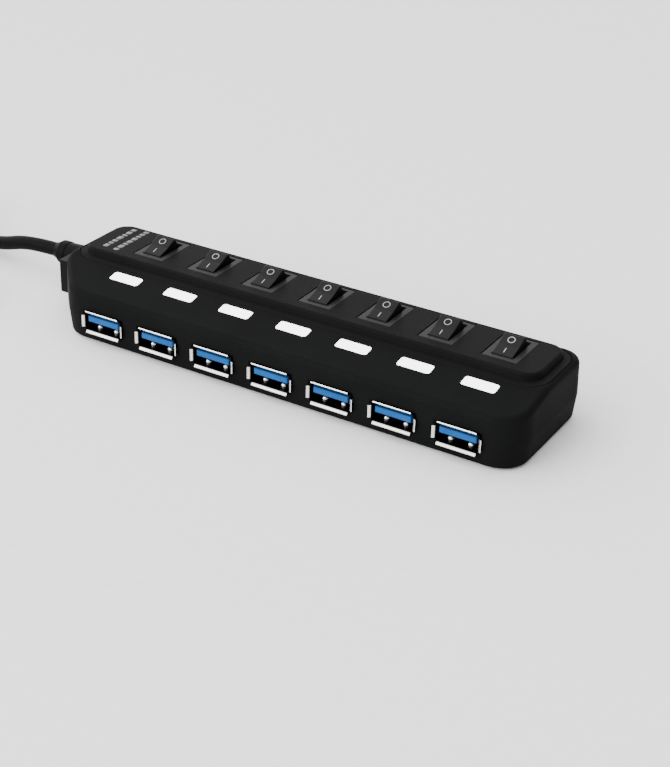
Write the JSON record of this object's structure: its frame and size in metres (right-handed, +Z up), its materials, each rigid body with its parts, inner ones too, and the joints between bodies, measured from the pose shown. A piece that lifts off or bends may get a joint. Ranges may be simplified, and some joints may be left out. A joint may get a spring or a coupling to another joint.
{
  "type": "usb hub",
  "caption": "Powered USB hub bar with a row of ports along the front, a lit window and an on-off rocker switch for each port, and a fixed host lead.",
  "frame": {"origin": "middle of the hub's footprint, on the surface its feet stand on", "axes": "+X along the bar, away from the end with the lead; the ports face -Y; +Z up"},
  "size_m": [0.2755, 0.0609, 0.0239],
  "materials": {
    "casing_black": "fine satin moulded texture",
    "panel_black": "fine matt moulded texture",
    "window_white": "milky translucent, lit",
    "switch_black": "satin",
    "rocker_black": "satin with pale pad-printed marks",
    "contact_brass": "plain",
    "socket_steel": "nickel plated, bright",
    "plug_steel": "nickel plated, bright",
    "port_blue": "satin",
    "board_green": "lacquered",
    "led_white": "clear encapsulated",
    "chip_black": "moulded",
    "capacitor_can": "satin",
    "jack_black": "satin",
    "pin_nickel": "bright",
    "screw_black": "black oxide",
    "foot_rubber": "matt",
    "header_ivory": "moulded",
    "core_sheath": "satin",
    "cord_black": "satin",
    "tie_black": "woven",
    "plug_black": "satin"
  },
  "bodies": {
    "hub": {"lower_shell": "casing_black", "upper_cover": "casing_black", "top_panel": "panel_black", "light_guide": "window_white", "switch_frame_1": "switch_black", "switch_frame_2": "switch_black", "switch_frame_3": "switch_black", "switch_frame_4": "switch_black", "switch_frame_5": "switch_black", "switch_frame_6": "switch_black", "switch_frame_7": "switch_black", "switch_terminals": "contact_brass", "socket_shell_1": "socket_steel", "socket_shell_2": "socket_steel", "socket_shell_3": "socket_steel", "socket_shell_4": "socket_steel", "socket_shell_5": "socket_steel", "socket_shell_6": "socket_steel", "socket_shell_7": "socket_steel", "plug_shell": "plug_steel", "socket_contacts": "plug_steel", "socket_tongue_1": "port_blue", "socket_tongue_2": "port_blue", "socket_tongue_3": "port_blue", "socket_tongue_4": "port_blue", "socket_tongue_5": "port_blue", "socket_tongue_6": "port_blue", "socket_tongue_7": "port_blue", "plug_tongue": "port_blue", "circuit_board": "board_green", "led_carrier": "board_green", "status_leds": "led_white", "hub_chips": "chip_black", "capacitors": "capacitor_can", "jack_housing": "jack_black", "jack_pin": "pin_nickel", "case_screws": "screw_black", "rubber_feet": "foot_rubber", "cable_header": "header_ivory", "cable_cores": "core_sheath", "cord": "cord_black", "cord_coil": "cord_black", "cord_tail": "cord_black", "strain_relief": "cord_black", "cord_tie": "tie_black", "plug_overmould": "plug_black"},
    "rocker_1": {"rocker_1": "rocker_black", "rocker_contact_1": "contact_brass"},
    "rocker_2": {"rocker_2": "rocker_black", "rocker_contact_2": "contact_brass"},
    "rocker_3": {"rocker_3": "rocker_black", "rocker_contact_3": "contact_brass"},
    "rocker_4": {"rocker_4": "rocker_black", "rocker_contact_4": "contact_brass"},
    "rocker_5": {"rocker_5": "rocker_black", "rocker_contact_5": "contact_brass"},
    "rocker_6": {"rocker_6": "rocker_black", "rocker_contact_6": "contact_brass"},
    "rocker_7": {"rocker_7": "rocker_black", "rocker_contact_7": "contact_brass"}
  },
  "joints": [
    {"name": "rocker_1_tilt", "type": "hinge", "parent": "hub", "child": "rocker_1", "pos_m": [-0.0525, 0.00893, 0.0176], "axis": [-1, 0, 0], "range_deg": [0, 42]},
    {"name": "rocker_2_tilt", "type": "hinge", "parent": "hub", "child": "rocker_2", "pos_m": [-0.033, 0.00893, 0.0176], "axis": [-1, 0, 0], "range_deg": [0, 42]},
    {"name": "rocker_3_tilt", "type": "hinge", "parent": "hub", "child": "rocker_3", "pos_m": [-0.0135, 0.00893, 0.0176], "axis": [-1, 0, 0], "range_deg": [0, 42]},
    {"name": "rocker_4_tilt", "type": "hinge", "parent": "hub", "child": "rocker_4", "pos_m": [0.006, 0.00893, 0.0176], "axis": [-1, 0, 0], "range_deg": [0, 42]},
    {"name": "rocker_5_tilt", "type": "hinge", "parent": "hub", "child": "rocker_5", "pos_m": [0.0255, 0.00893, 0.0176], "axis": [-1, 0, 0], "range_deg": [0, 42]},
    {"name": "rocker_6_tilt", "type": "hinge", "parent": "hub", "child": "rocker_6", "pos_m": [0.045, 0.00893, 0.0176], "axis": [-1, 0, 0], "range_deg": [0, 42]},
    {"name": "rocker_7_tilt", "type": "hinge", "parent": "hub", "child": "rocker_7", "pos_m": [0.0645, 0.00893, 0.0176], "axis": [-1, 0, 0], "range_deg": [0, 42]}
  ]
}
